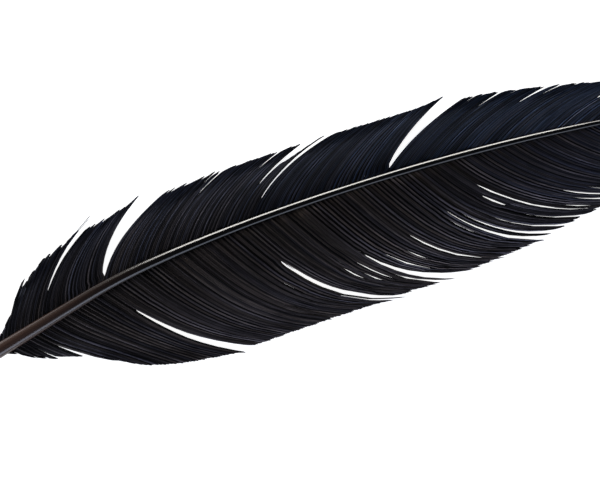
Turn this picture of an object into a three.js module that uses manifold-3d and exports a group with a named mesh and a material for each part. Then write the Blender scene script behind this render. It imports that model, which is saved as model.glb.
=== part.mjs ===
// Feather quill pen: a curved wing feather in a turned wooden grip with a replaceable steel nib.
//
// The pen lies on a surface with the smooth, dorsal side of the feather up. The barrel runs along
// +X from the nib to the plume, the narrow leading vane is on +Y, and Z is up. Lengths are in
// millimetres. A place on the feather is told by s, the distance along the shaft from the first
// barbs (negative along the bare barrel), and t, the distance out from the shaft's middle.

import * as THREE from 'three';
import { mergeVertices } from 'three/addons/utils/BufferGeometryUtils.js';
import Module from 'manifold-3d';

const wasm = await Module();
wasm.setup();

// ---------------------------------------------------------------- driving dimensions

const FIT_GAP = 0.3; // room between two pieces that touch on the real pen

// Feather
const RACHIS_END = 243; // s where the shaft runs out, just short of the plume's tip
const BARREL_START = -46; // s of the cut end of the bare barrel
const AXIS_HEIGHT = 4.2; // height of the straight barrel's axis over the surface
const HEADING = [[36, 0], [60, -7.3], [96, -11.5], [165, -17], [246, -24]]; // s, degrees in plan
const PITCH = [[-20, 0], [30, 2.2], [110, 0], [180, -3], [246, -3.6]]; // s, degrees of climb
const SHAFT_HALF_WIDTH = [[-46, 2.0], [-25, 2.4], [0, 2.25], [41, 1.75], [75, 1.3], [107, 1.12],
  [195, 0.87], [RACHIS_END, 0.3]];
const SHAFT_SIDES = 14;
const SHAFT_STEPS = 48;
const BARREL_BORE = 0.8; // bore of the hollow barrel, as a share of its half width
const PITH_SHARE = 0.62; // pith channel of the rachis, as a share of its half width
const PITH_START = 4;
const PITH_END = 170;
const PITH_GAP = 0.2;

// Vanes: half width at s, barb angle from the shaft at the root and at the margin for the barb's
// root s, and the splits that part one group of barbs from the next.
const LEADING = {
  name: 'leading_vane',
  side: 1,
  firstRoot: 6,
  lastRoot: 241,
  halfWidth: [[0, 1.5], [8, 3.2], [16, 8.8], [24, 14.4], [36, 17.2], [60, 17.7], [120, 17.2],
    [165, 16.4], [190, 13.9], [215, 10.3], [234, 5.8], [250, 0.5]],
  rootAngle: [[0, 62], [60, 56], [100, 48], [140, 43], [190, 34], [246, 16]],
  marginAngle: [[0, 58], [12, 38], [24, 20], [60, 20], [90, 13], [134, 20], [150, 14], [190, 8],
    [246, 3]],
  bend: [[0, 0.8], [24, 0.8], [90, 1.1], [134, 0.9]],
  droop: 1.35,
  fullWidth: 14,
  splits: [
    { root: 20.5, start: 0.5, gap: 1.3 },
    { root: 43, start: 0.15, gap: 5.4 },
    { root: 91.5, start: 0.3, gap: 2.0 },
    { root: 133.5, start: 0.12, gap: 5.2 },
    { root: 186, start: 0.6, gap: 1.4 },
  ],
};
const TRAILING = {
  name: 'trailing_vane',
  side: -1,
  firstRoot: 8,
  lastRoot: 241,
  halfWidth: [[0, 1.0], [8, 2], [16, 8], [28, 15.4], [40, 24.9], [50, 29.8], [64, 33.2], [84, 35.2],
    [132, 35.2], [165, 32.4], [190, 26.5], [215, 19.5], [234, 11.5], [252, 0.5]],
  rootAngle: [[0, 66], [60, 62], [100, 60], [140, 56], [190, 42], [246, 16]],
  marginAngle: [[0, 64], [20, 46], [40, 31], [60, 25], [85, 13], [110, 10], [140, 5], [190, 4],
    [246, 3]],
  bend: [[0, 1.0], [30, 1.4], [43, 1.7], [86, 2.4], [110, 2.5], [140, 2.0], [152, 1.2], [200, 1.1]],
  droop: 1.6,
  fullWidth: 22,
  splits: [
    { root: 17.5, start: 0.7, gap: 1.0 },
    { root: 43, start: 0.345, gap: 2.4 },
    { root: 88, start: 0.42, gap: 2.0 },
    { root: 107.7, start: 0.575, gap: 1.7 },
    { root: 138, start: 0.42, gap: 2.2 },
    { root: 190, start: 0.5, gap: 1.6 },
  ],
};
const WIDE_GAP = 2.5; // from here up, the barbs nearer the nib give most of the way
const VANE_THICK = 0.9;
const MARGIN_THICK = 0.6;
const MARGIN_SINK = 1.6; // how far the free margin would hang below the surface that presses it flat
const RISE_ON_RACHIS = 0.25; // barbs leave the rachis this share of its half width above its middle
const PATH_STEPS = 30;

// Holder, by x along the barrel: the quill's socket is at x = SOCKET_MOUTH and the nib points to -X
const SOCKET_MOUTH = -34;
const SOCKET_DEPTH = 13;
const SOCKET_RADIUS = 2.65;
const SHOULDER = -72; // where the wooden grip meets the brass ferrule
const TENON_LENGTH = 8;
const TENON_RADIUS = 3.1;
const FERRULE_LENGTH = 15.5;
const FERRULE_RADIUS = 3.9;
const FERRULE_BORE = 3.4;
const RING_LENGTH = 5;
const RING_RADIUS = 4.1;
const RING_SEAT = 3.35;
const TURNED_SIDES = 24;

// Nib and the four-leaf spring that presses its heel against the ferrule
const NIB_HEEL = -81.8;
const NIB_LENGTH = 28.2;
const NIB_RADIUS = 3.08; // of the middle of the sheet
const NIB_SHEET = 0.25;
const NIB_HALF_ARC = [[0, 3.6], [12, 3.6], [15, 3.3], [20, 1.9], [25, 0.85], [28.2, 0.22]];
const NIB_DROOP = 0.6;
const BREATHER_AT = 16;
const BREATHER_RADIUS = 0.6;
const SLIT_WIDTH = 0.12;
const CLIP_BASE = -80.4;
const CLIP_BASE_THICK = 0.8;
const CLIP_LENGTH = 7.2;
const CLIP_RADIUS = 2.7;
const CLIP_BORE = 2.35;
const CLIP_SLOT = 1.2;

// ---------------------------------------------------------------- materials

const keratin = new THREE.MeshStandardMaterial({ color: 0x1c1512, roughness: 0.3, metalness: 0 });
const pith = new THREE.MeshStandardMaterial({ color: 0xcfc6b4, roughness: 0.9, metalness: 0 });
const barbs = new THREE.MeshStandardMaterial({ color: 0x0d0d12, roughness: 0.6, metalness: 0 });
const wood = new THREE.MeshStandardMaterial({ color: 0x17110e, roughness: 0.4, metalness: 0 });
const brass = new THREE.MeshStandardMaterial({ color: 0xa88445, roughness: 0.35, metalness: 1 });
const steel = new THREE.MeshStandardMaterial({ color: 0x8f8578, roughness: 0.3, metalness: 1 });

// ---------------------------------------------------------------- small helpers

const degrees = (a) => THREE.MathUtils.degToRad(a);

// Index of the stretch of a table of [x, y] rows that holds x.
function stretchOf(table, x) {
  let i = 0;
  while (i < table.length - 2 && x > table[i + 1][0]) i += 1;
  return i;
}

// Straight-line reading of a table, held level past its ends.
function ramp(table, x) {
  const [a, b] = table.slice(stretchOf(table, x));
  const share = THREE.MathUtils.clamp((x - a[0]) / (b[0] - a[0]), 0, 1);
  return a[1] + (b[1] - a[1]) * share;
}

// Smooth reading of a table (cubic, Catmull-Rom slopes), held level past its ends.
function ease(table, x) {
  const last = table.length - 1;
  if (x <= table[0][0]) return table[0][1];
  if (x >= table[last][0]) return table[last][1];
  const slope = (k) => {
    const [p, q] = [table[Math.max(0, k - 1)], table[Math.min(last, k + 1)]];
    return (q[1] - p[1]) / (q[0] - p[0]);
  };
  const i = stretchOf(table, x);
  const [[x0, y0], [x1, y1]] = [table[i], table[i + 1]];
  const h = x1 - x0;
  const u = (x - x0) / h;
  return (2 * u ** 3 - 3 * u ** 2 + 1) * y0 + (u ** 3 - 2 * u ** 2 + u) * h * slope(i)
    + (3 * u ** 2 - 2 * u ** 3) * y1 + (u ** 3 - u ** 2) * h * slope(i + 1);
}

// Moves every vertex of a geometry with a function of its place.
function reshape(geometry, place) {
  const at = geometry.attributes.position;
  for (let i = 0; i < at.count; i += 1) {
    at.setXYZ(i, ...place(at.getX(i), at.getY(i), at.getZ(i)));
  }
  return geometry;
}

function toSolid(geometry) {
  const bare = geometry.clone();
  bare.deleteAttribute('normal');
  bare.deleteAttribute('uv');
  const merged = mergeVertices(bare, 1e-4);
  return new wasm.Manifold(new wasm.Mesh({
    numProp: 3,
    vertProperties: merged.attributes.position.array,
    triVerts: new Uint32Array(merged.index.array),
  }));
}

function toGeometry(solid) {
  const { vertProperties, triVerts } = solid.getMesh();
  const geometry = new THREE.BufferGeometry();
  geometry.setAttribute('position', new THREE.BufferAttribute(vertProperties, 3));
  geometry.setIndex(new THREE.BufferAttribute(triVerts, 1));
  return geometry;
}

const pen = new THREE.Group();

function addPiece(name, geometry, material) {
  const mesh = new THREE.Mesh(geometry, material);
  mesh.name = name;
  pen.add(mesh);
  return mesh;
}

// ---------------------------------------------------------------- the shaft's middle line

const LINE_START = -60;
const LINE_END = 262;
const line = [new THREE.Vector3(LINE_START, 0, AXIS_HEIGHT)];
for (let s = LINE_START; s < LINE_END; s += 1) {
  const heading = degrees(ramp(HEADING, s + 0.5));
  const climb = degrees(ramp(PITCH, s + 0.5));
  const step = new THREE.Vector3(Math.cos(heading), Math.sin(heading), Math.tan(climb));
  line.push(line[line.length - 1].clone().add(step));
}

function shaftMiddle(s) {
  const k = THREE.MathUtils.clamp(Math.floor(s - LINE_START), 0, line.length - 2);
  return line[k].clone().lerp(line[k + 1], s - LINE_START - k);
}

// The point t to the left (+) or right (-) of the shaft's middle and up by lift.
function besideShaft(s, t, lift) {
  const heading = degrees(ramp(HEADING, s));
  const p = shaftMiddle(s);
  return [p.x - Math.sin(heading) * t, p.y + Math.cos(heading) * t, p.z + lift];
}

// ---------------------------------------------------------------- shaft and pith

// A rod along the shaft from one s to another, round in the barrel and squarer along the rachis.
function rod(from, to, halfWidth, sides, steps) {
  const geometry = new THREE.CylinderGeometry(1, 1, 1, sides, steps);
  return reshape(geometry, (x, y, z) => {
    const s = from + (to - from) * (y + 0.5);
    const squareness = 2 + THREE.MathUtils.smoothstep(s, 0, 80);
    const size = Math.hypot(x, z);
    const swell = size < 0.5 ? 0
      : size / (Math.abs(x) ** squareness + Math.abs(z) ** squareness) ** (1 / squareness);
    return besideShaft(s, z * swell * halfWidth(s), x * swell * halfWidth(s));
  });
}

const shaftHalfWidth = (s) => ease(SHAFT_HALF_WIDTH, s);
const PAST_THE_END = 1;
const barrelBore = rod(BARREL_START - PAST_THE_END, PITH_START, (s) => BARREL_BORE * shaftHalfWidth(s),
  SHAFT_SIDES, 10);
const pithChannel = rod(PITH_START - PAST_THE_END, PITH_END, (s) => PITH_SHARE * shaftHalfWidth(s),
  SHAFT_SIDES, 30);
const shaftOutside = rod(BARREL_START, RACHIS_END, shaftHalfWidth, SHAFT_SIDES, SHAFT_STEPS);
const shaft = toSolid(shaftOutside).subtract(toSolid(barrelBore)).subtract(toSolid(pithChannel));
addPiece('quill_shaft', toGeometry(shaft), keratin);
addPiece('pith_core', rod(PITH_START + PITH_GAP, PITH_END - PITH_GAP,
  (s) => PITH_SHARE * shaftHalfWidth(s) - PITH_GAP, 8, 30), pith);

// ---------------------------------------------------------------- vanes

// How far the splits push the barb with this root aside at v, along the vane. Plus is tipwards.
function pushedBy(vane, root, v) {
  return vane.splits.reduce((sum, split) => {
    const nibwards = split.gap < WIDE_GAP ? 0.5 : 0.85;
    const share = root < split.root ? -nibwards : 1 - nibwards;
    const reach = 1 + 4.2 * Math.abs(share) * split.gap;
    const open = Math.max(0, (v - split.start) / (1 - split.start)) ** 1.25;
    return sum + share * split.gap * open * Math.exp(-Math.abs(root - split.root) / reach);
  }, 0);
}

// The barb with its root at s = root: [s, t] at v = 0 (shaft) to v = 1 (margin).
function barbPath(vane, root) {
  const width = (s) => ease(vane.halfWidth, s);
  const [atRoot, atMargin] = [vane.rootAngle, vane.marginAngle].map((t) => degrees(ease(t, root)));
  const bend = ease(vane.bend, root);
  const points = [];
  let s = root;
  for (let i = 0; i <= PATH_STEPS; i += 1) {
    const v = i / PATH_STEPS;
    const angle = atRoot + (atMargin - atRoot) * v ** bend;
    const push = pushedBy(vane, root, v);
    points.push([s + push * Math.sin(angle), v * width(s) - push * Math.cos(angle)]);
    const slope = width(s + 0.5) - width(s - 0.5);
    const run = Math.cos(angle) / Math.sin(angle);
    s += (run * width(s)) / PATH_STEPS / Math.max(0.25, 1 - v * slope * run);
  }
  return points;
}

// One group of barbs as a thin curved plate, from the barb rooted at one s to that at another.
function vanePlate(vane, from, to) {
  const across = Math.max(4, Math.round((to - from) / 6));
  const out = 10;
  const geometry = new THREE.BoxGeometry(1, 1, 1, across, out, 1);
  const paths = new Map();
  return reshape(geometry, (x, y, z) => {
    const u = vane.side > 0 ? x + 0.5 : 0.5 - x;
    const root = from + (to - from) * u;
    if (!paths.has(root)) paths.set(root, barbPath(vane, root));
    const path = paths.get(root);
    const width = ease(vane.halfWidth, root);
    const inner = (shaftHalfWidth(root) + FIT_GAP) / width;
    const v = inner + (1 - inner) * (y + 0.5);
    const k = Math.min(PATH_STEPS - 1, Math.floor(v * PATH_STEPS));
    const f = v * PATH_STEPS - k;
    const [s, t] = [0, 1].map((i) => path[k][i] + (path[k + 1][i] - path[k][i]) * f);
    const start = shaftMiddle(s).z + RISE_ON_RACHIS * shaftHalfWidth(s);
    const fall = (start + MARGIN_SINK) * Math.min(1, ease(vane.halfWidth, s) / vane.fullWidth);
    const thick = VANE_THICK + (MARGIN_THICK - VANE_THICK) * v;
    const under = Math.max(0, start - fall * v ** vane.droop - thick / 2);
    const [px, py] = besideShaft(s, t * vane.side, 0);
    return [px, py, under + thick * (z + 0.5)];
  });
}

for (const vane of [LEADING, TRAILING]) {
  const edges = [vane.firstRoot, ...vane.splits.map((split) => split.root), vane.lastRoot];
  edges.slice(1).forEach((to, i) => {
    const plate = vanePlate(vane, edges[i] + FIT_GAP / 2, to - FIT_GAP / 2);
    addPiece(`${vane.name}_${i + 1}`, plate, barbs);
  });
}

// ---------------------------------------------------------------- holder

// A piece turned about the barrel's axis from [x, radius] points.
function turned(profile) {
  const points = profile.map(([x, radius]) => new THREE.Vector2(radius, x));
  const geometry = new THREE.LatheGeometry(points, TURNED_SIDES);
  geometry.rotateY(Math.PI / TURNED_SIDES);
  return geometry.rotateZ(-Math.PI / 2).translate(0, 0, AXIS_HEIGHT);
}

const RING_START = SOCKET_MOUTH - RING_LENGTH;
addPiece('grip', turned([
  [SHOULDER - TENON_LENGTH, 0],
  [SHOULDER - TENON_LENGTH, TENON_RADIUS],
  [SHOULDER, TENON_RADIUS],
  [SHOULDER, FERRULE_RADIUS],
  [SHOULDER + 3, 4.05],
  [SHOULDER + 8, 4.2],
  [SHOULDER + 13, 3.95],
  [SHOULDER + 18, 3.55],
  [SHOULDER + 23, 3.6],
  [SHOULDER + 27, 4.0],
  [SHOULDER + 29, 4.15],
  [SHOULDER + 31, 4.0],
  [RING_START - 1.2, 3.7],
  [RING_START - FIT_GAP, 3.7],
  [RING_START - FIT_GAP, RING_SEAT],
  [SOCKET_MOUTH, RING_SEAT],
  [SOCKET_MOUTH, SOCKET_RADIUS],
  [SOCKET_MOUTH - SOCKET_DEPTH, SOCKET_RADIUS],
  [SOCKET_MOUTH - SOCKET_DEPTH, 0],
]), wood);

addPiece('rear_ring', turned([
  [RING_START, RING_SEAT + FIT_GAP],
  [RING_START, RING_RADIUS - 0.4],
  [RING_START + 0.6, RING_RADIUS],
  [SOCKET_MOUTH - 0.6, RING_RADIUS],
  [SOCKET_MOUTH, RING_RADIUS - 0.4],
  [SOCKET_MOUTH, RING_SEAT + FIT_GAP],
  [RING_START, RING_SEAT + FIT_GAP],
]), brass);

const FERRULE_BACK = SHOULDER - FIT_GAP;
const FERRULE_FRONT = FERRULE_BACK - FERRULE_LENGTH;
addPiece('ferrule', turned([
  [FERRULE_FRONT, FERRULE_BORE],
  [FERRULE_FRONT, FERRULE_RADIUS],
  [FERRULE_BACK, FERRULE_RADIUS],
  [FERRULE_BACK, FERRULE_BORE],
  [FERRULE_FRONT, FERRULE_BORE],
]), brass);

// ---------------------------------------------------------------- nib and spring clip

function springClip() {
  const cup = toSolid(turned([
    [CLIP_BASE - CLIP_LENGTH, CLIP_BORE],
    [CLIP_BASE - CLIP_LENGTH, CLIP_RADIUS],
    [CLIP_BASE - CLIP_BASE_THICK, CLIP_RADIUS],
    [CLIP_BASE - CLIP_BASE_THICK, TENON_RADIUS],
    [CLIP_BASE, TENON_RADIUS],
    [CLIP_BASE, 0],
    [CLIP_BASE - CLIP_BASE_THICK, 0],
    [CLIP_BASE - CLIP_BASE_THICK, CLIP_BORE],
    [CLIP_BASE - CLIP_LENGTH, CLIP_BORE],
  ]));
  const slot = new THREE.BoxGeometry(CLIP_LENGTH, CLIP_SLOT, 3 * CLIP_RADIUS);
  const middle = CLIP_BASE - CLIP_BASE_THICK - FIT_GAP - CLIP_LENGTH / 2;
  return [Math.PI / 4, -Math.PI / 4].reduce((leaves, angle) => {
    const cut = slot.clone().rotateX(angle).translate(middle, 0, AXIS_HEIGHT);
    return leaves.subtract(toSolid(cut));
  }, cup);
}

function nib() {
  const sheet = reshape(new THREE.BoxGeometry(1, 1, 1, 24, 12, 1), (x, y, z) => {
    const along = NIB_LENGTH * (0.5 - x);
    const angle = (2 * y * ease(NIB_HALF_ARC, along)) / NIB_RADIUS;
    const radius = NIB_RADIUS + NIB_SHEET * z;
    const droop = NIB_DROOP * THREE.MathUtils.smoothstep(along, BREATHER_AT, NIB_LENGTH);
    return [NIB_HEEL - along, radius * Math.sin(angle), AXIS_HEIGHT + radius * Math.cos(angle) - droop];
  });
  const hole = new THREE.CylinderGeometry(BREATHER_RADIUS, BREATHER_RADIUS, 4, 12)
    .rotateX(Math.PI / 2)
    .translate(NIB_HEEL - BREATHER_AT, 0, AXIS_HEIGHT + NIB_RADIUS);
  const slitLength = NIB_LENGTH - BREATHER_AT + PAST_THE_END;
  const slit = new THREE.BoxGeometry(slitLength, SLIT_WIDTH, 4)
    .translate(NIB_HEEL - BREATHER_AT - slitLength / 2, 0, AXIS_HEIGHT + NIB_RADIUS);
  return toSolid(sheet).subtract(toSolid(hole)).subtract(toSolid(slit));
}

addPiece('nib_clip', toGeometry(springClip()), steel);
addPiece('nib', toGeometry(nib()), steel);

// ---------------------------------------------------------------- frame

// The origin is under the middle of the pen's box, on the surface that it lies on.
const box = new THREE.Box3().setFromObject(pen);
const middle = box.getCenter(new THREE.Vector3());
pen.position.set(-middle.x, -middle.y, -box.min.z);

const root = new THREE.Group();
root.add(pen);

export default root;
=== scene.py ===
"""Feather quill pen: a black wing feather in an ebonised grip, with a brass ferrule and a steel nib.

Each operator makes one piece, or one group of like pieces, around the pen's frame. A place on the
feather is told by s, the distance along the shaft from the first barbs, and t, the distance out
from the shaft's middle line. Sizes are in millimetres and become metres as they reach a mesh.
"""

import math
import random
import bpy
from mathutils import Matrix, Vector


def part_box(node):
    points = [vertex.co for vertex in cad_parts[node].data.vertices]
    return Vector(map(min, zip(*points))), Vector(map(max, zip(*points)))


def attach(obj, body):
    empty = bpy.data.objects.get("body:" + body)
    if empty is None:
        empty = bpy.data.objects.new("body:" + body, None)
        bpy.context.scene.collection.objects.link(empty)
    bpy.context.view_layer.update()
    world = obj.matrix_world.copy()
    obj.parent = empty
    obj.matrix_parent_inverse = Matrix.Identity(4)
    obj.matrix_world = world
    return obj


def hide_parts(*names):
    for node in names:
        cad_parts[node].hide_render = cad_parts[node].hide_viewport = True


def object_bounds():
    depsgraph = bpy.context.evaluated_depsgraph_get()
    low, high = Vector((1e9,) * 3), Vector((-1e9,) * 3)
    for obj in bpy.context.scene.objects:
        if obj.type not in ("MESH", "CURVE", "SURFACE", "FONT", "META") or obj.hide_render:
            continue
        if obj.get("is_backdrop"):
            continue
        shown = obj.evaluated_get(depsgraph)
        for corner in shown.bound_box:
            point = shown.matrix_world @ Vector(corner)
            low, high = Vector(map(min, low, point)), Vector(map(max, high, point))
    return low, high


bl_info = {
    "name": "Feather Quill Pen",
    "version": (1, 0, 0),
    "blender": (4, 5, 0),
    "location": "View3D > Sidebar > Quill Pen",
    "description": "Builds a feather quill pen with its materials, lights and camera",
    "category": "Add Mesh",
}

import bmesh
import bpy
from mathutils import Matrix, Vector

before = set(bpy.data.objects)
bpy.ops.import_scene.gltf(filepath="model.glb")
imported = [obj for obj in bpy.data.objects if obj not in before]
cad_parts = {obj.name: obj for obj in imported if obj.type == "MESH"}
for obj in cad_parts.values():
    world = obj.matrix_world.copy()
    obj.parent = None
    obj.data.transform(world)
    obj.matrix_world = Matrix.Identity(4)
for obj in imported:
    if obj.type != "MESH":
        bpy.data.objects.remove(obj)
CAD_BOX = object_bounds()

MM = 0.001

# ------------------------------------------------------------------ places taken from the frame

BARREL_LENGTH = 46.0  # from the barrel's cut end to the first barbs
RACHIS_END = 243.0
shaft_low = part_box("quill_shaft")[0]
ferrule_low, ferrule_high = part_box("ferrule")
grip_low, grip_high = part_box("grip")
ring_low, ring_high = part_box("rear_ring")
nib_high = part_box("nib")[1]
AXIS_Y = (ferrule_low.y + ferrule_high.y) / 2 / MM
AXIS_Z = (ferrule_low.z + ferrule_high.z) / 2 / MM
FIRST_BARBS_X = shaft_low.x / MM + BARREL_LENGTH

# ------------------------------------------------------------------ the feather's lines

# (s, degrees): the shaft's turn in plan and its climb
HEADING = [(36, 0), (60, -7.3), (96, -11.5), (165, -17), (246, -24)]
PITCH = [(-20, 0), (30, 2.2), (110, 0), (180, -3), (246, -3.6)]
SHAFT_HALF_WIDTH = [(-46, 2.0), (-25, 2.4), (0, 2.25), (41, 1.75), (75, 1.3), (107, 1.12), (195, 0.87),
                    (RACHIS_END, 0.3)]
LINE_START, LINE_END = -60, 262

# Each vane: half width at s, and the barb's angle from the shaft at its root and at the margin.
# A split is (root, v where it starts, v where it ends, gap); v runs from 0 at the shaft to 1 at the
# margin, and a split that ends at 1 is open there. Teeth are (from s, to s, length, depth) of the
# small steps that barb tips make along the margin. A tuft is (root, roots that it takes in, extra v).
# A sliver is (from root, to root, v where its first barb ends, v where its last one ends). A stray is
# (the split it lies in, place across it from -1 to 1, v where it ends, half width). Bend shapes the
# turn from one angle to the other and droop the vane's fall to the surface, which is whole from a
# half width of full_width. Tone is the barbs' brightness along s, painted light and shade that makes
# stretches of the vane darker or lighter in place of light that falls unevenly on it; warmth is their
# brown, of which cooler_outward is gone at the margin. Parts are the roots at which the vane is cut
# into pieces.
LEADING = {
    "name": "leading_vane",
    "side": 1,
    "first_root": -0.5,
    "last_root": 243.0,
    "half_width": [(0, 2.3), (8, 3.4), (16, 8.0), (24, 13.6), (36, 17.0), (60, 17.9), (120, 17.2),
                   (165, 16.4), (190, 13.9), (215, 10.3), (234, 5.8), (250, 0.5)],
    "root_angle": [(0, 62), (60, 56), (100, 48), (140, 43), (190, 34), (246, 16)],
    "margin_angle": [(0, 58), (12, 38), (24, 20), (60, 20), (90, 13), (134, 20), (150, 14), (190, 8),
                     (246, 3)],
    "bend": [(0, 0.8), (24, 0.8), (90, 1.1), (134, 0.9)],
    "droop": 1.35,
    "full_width": 14,
    "parts": [22, 43.5, 91.5, 133.5, 186],
    "splits": [
        (20.4, 0.84, 1, 0.8), (22, 0.45, 1, 1.8), (43.5, 0.15, 1, 5.0), (62.5, 0.82, 1, 0.5),
        (64.5, 0.70, 1, 0.6), (79.8, 0.76, 1, 0.7), (87.2, 0.54, 1, 1.4), (91.5, 0.29, 1, 1.1),
        (133.5, 0.12, 1, 4.3), (138, 0.83, 1, 0.5), (145, 0.78, 1, 0.8), (149, 0.87, 1, 0.4),
        (158, 0.73, 1, 0.9), (161.5, 0.84, 1, 0.5), (167, 0.93, 1, 0.4), (186, 0.60, 1, 1.4),
        (205, 0.70, 1, 0.8), (222, 0.75, 1, 0.7),
    ],
    "teeth": [(0, 14, 1.6, 0.14), (14, 60, 4.0, 0.05), (60, 130, 3.0, 0.02), (130, 246, 3.0, 0.03)],
    "tufts": [(22, 1.0, 0.06), (43.5, 4.5, 0.14), (133.5, 5.5, 0.11)],
    "slivers": [(87.2, 91.5, 0.80, 1.04)],
    "strays": [(22, -0.9, 1.18, 0.16), (22, -0.5, 1.14, 0.12), (91.5, -0.6, 1.05, 0.12)],
    # Painted light and shade: the barbs' brightness along s, low at the base and lowest through the
    # middle, where the window slot lights this vane.
    "tone": [(0, 0.6), (25, 0.85), (45, 1.1), (60, 0.9), (100, 0.58), (150, 0.55), (190, 0.95)],
    "warmth": [(0, 0.75), (60, 0.6), (100, 0.35), (135, 0.1), (246, 0.0)],
    "cooler_outward": 0.6,
}
TRAILING = {
    "name": "trailing_vane",
    "side": -1,
    "first_root": 2.5,
    "last_root": 243.0,
    "half_width": [(0, 1.0), (8, 2), (16, 8), (28, 15.4), (40, 24.9), (50, 29.8), (64, 33.2), (84, 35.2),
                   (132, 35.2), (165, 32.4), (190, 26.5), (215, 19.5), (234, 11.5), (252, 0.5)],
    "root_angle": [(0, 66), (60, 62), (100, 60), (140, 56), (190, 42), (246, 16)],
    "margin_angle": [(0, 64), (20, 46), (40, 28), (60, 24), (85, 13), (110, 10), (140, 5), (190, 4),
                     (246, 3)],
    "bend": [(0, 1.0), (30, 1.4), (43, 1.7), (86, 2.4), (110, 2.5), (140, 2.0), (152, 1.2), (200, 1.1)],
    "droop": 1.6,
    "full_width": 22,
    "parts": [17.5, 43, 87.7, 107.7, 138, 190],
    "splits": [
        (5, 0.55, 1, 0.6), (9.2, 0.62, 1, 0.9), (13.4, 0.62, 1, 0.9), (17.5, 0.62, 1, 1.3),
        (43, 0.345, 1, 2.4), (82, 0.57, 0.72, 0.75), (87.0, 0.45, 1, 0.7), (87.7, 0.385, 1, 0.9),
        (87.7, 0.385, 0.97, 1.0), (98.5, 0.62, 0.78, 0.75), (100.4, 0.47, 0.58, 0.75),
        (101, 0.68, 0.84, 0.7), (103.2, 0.60, 0.86, 0.75), (105.2, 0.69, 1, 1.0),
        (107.5, 0.47, 0.545, 0.75), (107.7, 0.56, 1, 2.1), (111.4, 0.62, 0.90, 0.8),
        (117.2, 0.65, 0.80, 0.7), (123.4, 0.52, 0.95, 0.8), (134, 0.65, 0.80, 0.5),
        (136, 0.45, 0.83, 0.55), (138, 0.42, 1, 1.7), (140.3, 0.45, 1, 1.3), (143.8, 0.48, 1, 1.0),
        (147.6, 0.53, 1, 0.9), (149.2, 0.40, 0.57, 0.9), (151.6, 0.27, 0.98, 0.7),
        (154, 0.78, 0.95, 0.6), (159, 0.74, 1, 0.9), (162.3, 0.62, 0.95, 0.6), (167, 0.70, 1, 0.7),
        (177, 0.80, 1, 0.5), (190, 0.50, 1, 1.6), (208, 0.66, 1, 0.8), (226, 0.60, 1, 0.7),
    ],
    "teeth": [(0, 13, 2.4, 0.13), (13, 90, 4.0, 0.005), (90, 246, 3.5, 0.022)],
    "tufts": [(43, 4, 0.04), (87.7, 4, 0.03), (107.7, 3, 0.03), (138, 3, 0.03)],
    "slivers": [],
    "strays": [(43, -0.4, 0.40, 0.10), (87.7, 0.1, 0.50, 0.10)],
    # Painted light and shade: the barbs' brightness along s, low at the base and raised through the middle
    # so this vane looks more brightly lit.
    "tone": [(0, 0.5), (15, 0.65), (30, 1.15), (60, 1.5), (90, 1.3), (120, 1.15), (246, 1.15)],
    "warmth": [(0, 0.9), (60, 1.1), (110, 1.0), (150, 0.8), (200, 0.5), (246, 0.3)],
    "cooler_outward": 0.25,
}

RISE_ON_RACHIS = 0.25  # barbs leave the shaft this share of its half width above its middle
MARGIN_SINK = 1.6  # a full-width margin would fall this far below the surface that it lies on
MARGIN_REST = 0.32  # height of a barb's middle where the margin lies on the surface
LANDING = 0.3  # how softly the vane comes down to that height
RIPPLE = 0.16
PATH_STEPS = 30
STEPS_PAST_MARGIN = 12
BARB_STATIONS = 16
SHORTEST_V, LONGEST_V = 0.3, 1.36  # where a barb may end
ROOT_SHARE = 0.45  # barbs start this share of the shaft's half width from its middle
TIP_TAPER = 0.015  # share of the width over which a barb comes to its point
STRAY_LOOKS = (0.4, 0, 0.6, 0.2, 0.05, 0)  # ridge, overlap, tone and painted light, warmth, lift, tilt
TIP_OVERLAPS = 6  # how many times wider the overlap is at the margin
WIDE_GAP = 2.5  # from here up, the barbs nearer the nib give most of the way
NIBWARD_SHARE = 0.85
BLUNT_GAP, BLUNT_PER_GAP = 0.2, 0.12  # width of a split right where it starts, in millimetres
BLUNT_END = 0.07  # share of the split's length over which it gets that width
PUSH_NEAR, PUSH_PER_GAP = 1.0, 4.2  # how far a split's push is felt, in millimetres

# ------------------------------------------------------------------ tables and the shaft's line


def stretch_of(table, x):
    """Index of the stretch of a table of (x, y) rows that holds x."""
    i = 0
    while i < len(table) - 2 and x > table[i + 1][0]:
        i += 1
    return i


def ramp(table, x):
    """Straight-line reading of a table, held level past its ends."""
    i = stretch_of(table, x)
    (x0, y0), (x1, y1) = table[i], table[i + 1]
    return y0 + (y1 - y0) * min(1, max(0, (x - x0) / (x1 - x0)))


def ease(table, x):
    """Smooth reading of a table (cubic, Catmull-Rom slopes), held level past its ends."""
    last = len(table) - 1
    if x <= table[0][0]:
        return table[0][1]
    if x >= table[last][0]:
        return table[last][1]
    i = stretch_of(table, x)
    (x0, y0), (x1, y1) = table[i], table[i + 1]
    before, after = table[max(0, i - 1)], table[min(last, i + 2)]
    slope0 = (y1 - before[1]) / (x1 - before[0])
    slope1 = (after[1] - y0) / (after[0] - x0)
    h = x1 - x0
    u = (x - x0) / h
    return ((2 * u ** 3 - 3 * u ** 2 + 1) * y0 + (u ** 3 - 2 * u ** 2 + u) * h * slope0
            + (3 * u ** 2 - 2 * u ** 3) * y1 + (u ** 3 - u ** 2) * h * slope1)


def trace_shaft():
    """The shaft's middle line, a point for each millimetre of s."""
    point = Vector((FIRST_BARBS_X + LINE_START, AXIS_Y, AXIS_Z))
    line = [point.copy()]
    for s in range(LINE_START, LINE_END):
        heading = math.radians(ramp(HEADING, s + 0.5))
        climb = math.radians(ramp(PITCH, s + 0.5))
        point += Vector((math.cos(heading), math.sin(heading), math.tan(climb)))
        line.append(point.copy())
    return line


SHAFT_LINE = trace_shaft()


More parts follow.
